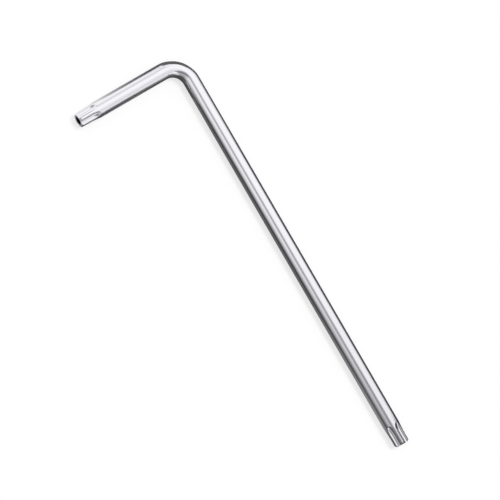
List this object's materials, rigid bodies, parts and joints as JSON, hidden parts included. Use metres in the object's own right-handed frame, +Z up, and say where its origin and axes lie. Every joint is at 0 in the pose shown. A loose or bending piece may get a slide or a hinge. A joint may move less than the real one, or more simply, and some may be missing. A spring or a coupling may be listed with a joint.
{
  "type": "star key",
  "caption": "L-shaped star key: a round plated steel bar bent square, with a lobed star drive and a blind security pin hole at each end, for turning star-socket screws.",
  "frame": {"origin": "middle of the footprint, on the surface that the key lies on", "axes": "+X along the long arm towards its tip, -Y along the short arm towards its tip, +Z up, square to both arms"},
  "size_m": [0.156, 0.046, 0.0059],
  "materials": {
    "plated_steel": "bright plated steel bar with faint drawing lines along it"
  },
  "bodies": {
    "root": {"long_arm": "plated_steel", "bend": "plated_steel", "short_arm": "plated_steel", "long_star_tip": "plated_steel", "short_star_tip": "plated_steel"}
  },
  "joints": []
}
